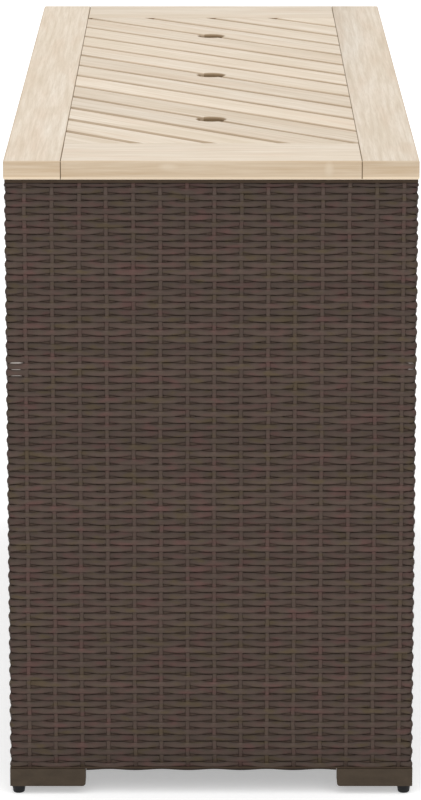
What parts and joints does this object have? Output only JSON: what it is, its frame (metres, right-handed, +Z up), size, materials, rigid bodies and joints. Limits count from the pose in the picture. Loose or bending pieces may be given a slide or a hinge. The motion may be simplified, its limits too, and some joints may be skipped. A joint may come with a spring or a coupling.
{
  "type": "outdoor sofa table",
  "caption": "Tall narrow outdoor table: slatted wooden top with round holes, woven strand sides on a tube frame, corner feet and levelling glides.",
  "frame": {"origin": "on the floor under the middle of the table", "axes": "+X across the width to the right, +Y along the length away from the pictured end, +Z up"},
  "size_m": [0.502, 1.345, 0.8],
  "materials": {
    "wood": "satin",
    "wicker": "satin",
    "frame": "matte",
    "nylon": "matte",
    "zinc": "satin"
  },
  "bodies": {
    "table": {"slat_01": "wood", "slat_02": "wood", "slat_03": "wood", "slat_04": "wood", "slat_05": "wood", "slat_06": "wood", "slat_07": "wood", "slat_08": "wood", "slat_09": "wood", "slat_10": "wood", "slat_11": "wood", "slat_12": "wood", "slat_13": "wood", "slat_14": "wood", "slat_15": "wood", "slat_16": "wood", "top_stile_left": "wood", "batten_left": "wood", "side_top_rail_left": "frame", "side_bottom_rail_left": "frame", "side_stiles_left": "frame", "wicker_side_left": "wicker", "top_stile_right": "wood", "batten_right": "wood", "side_top_rail_right": "frame", "side_bottom_rail_right": "frame", "side_stiles_right": "frame", "wicker_side_right": "wicker", "top_rail_front": "wood", "end_top_rail_front": "frame", "end_bottom_rail_front": "frame", "wicker_end_front": "wicker", "top_rail_back": "wood", "end_top_rail_back": "frame", "end_bottom_rail_back": "frame", "wicker_end_back": "wicker", "corner_post_fl": "frame", "corner_foot_fl": "frame", "corner_post_fr": "frame", "corner_foot_fr": "frame", "corner_post_bl": "frame", "corner_foot_bl": "frame", "corner_post_br": "frame", "corner_foot_br": "frame", "rail_tenons": "wood", "top_brackets": "zinc", "corner_bolts": "zinc", "corner_nuts": "zinc", "glide_inserts": "nylon"},
    "pad_fl": {"glide_pad_fl": "nylon"},
    "stud_fl": {"glide_stud_fl": "zinc"},
    "pad_fr": {"glide_pad_fr": "nylon"},
    "stud_fr": {"glide_stud_fr": "zinc"},
    "pad_bl": {"glide_pad_bl": "nylon"},
    "stud_bl": {"glide_stud_bl": "zinc"},
    "pad_br": {"glide_pad_br": "nylon"},
    "stud_br": {"glide_stud_br": "zinc"}
  },
  "joints": [
    {"name": "glide_fl_slide", "type": "slide", "parent": "table", "child": "pad_fl", "axis": [0, 0, -1], "range_m": [0, 0.012]},
    {"name": "glide_fl_turn", "type": "hinge", "parent": "pad_fl", "child": "stud_fl", "pos_m": [-0.24, -0.6615, 0.02], "axis": [0, 0, -1], "range_deg": [0, 4320]},
    {"name": "glide_fr_slide", "type": "slide", "parent": "table", "child": "pad_fr", "axis": [0, 0, -1], "range_m": [0, 0.012]},
    {"name": "glide_fr_turn", "type": "hinge", "parent": "pad_fr", "child": "stud_fr", "pos_m": [0.24, -0.6615, 0.02], "axis": [0, 0, -1], "range_deg": [0, 4320]},
    {"name": "glide_bl_slide", "type": "slide", "parent": "table", "child": "pad_bl", "axis": [0, 0, -1], "range_m": [0, 0.012]},
    {"name": "glide_bl_turn", "type": "hinge", "parent": "pad_bl", "child": "stud_bl", "pos_m": [-0.24, 0.6615, 0.02], "axis": [0, 0, -1], "range_deg": [0, 4320]},
    {"name": "glide_br_slide", "type": "slide", "parent": "table", "child": "pad_br", "axis": [0, 0, -1], "range_m": [0, 0.012]},
    {"name": "glide_br_turn", "type": "hinge", "parent": "pad_br", "child": "stud_br", "pos_m": [0.24, 0.6615, 0.02], "axis": [0, 0, -1], "range_deg": [0, 4320]}
  ],
  "couplings": [
    {"joint": "glide_fl_turn", "follows": "glide_fl_slide", "rad_per_m": 6283.2},
    {"joint": "glide_fr_turn", "follows": "glide_fr_slide", "rad_per_m": 6283.2},
    {"joint": "glide_bl_turn", "follows": "glide_bl_slide", "rad_per_m": 6283.2},
    {"joint": "glide_br_turn", "follows": "glide_br_slide", "rad_per_m": 6283.2}
  ]
}
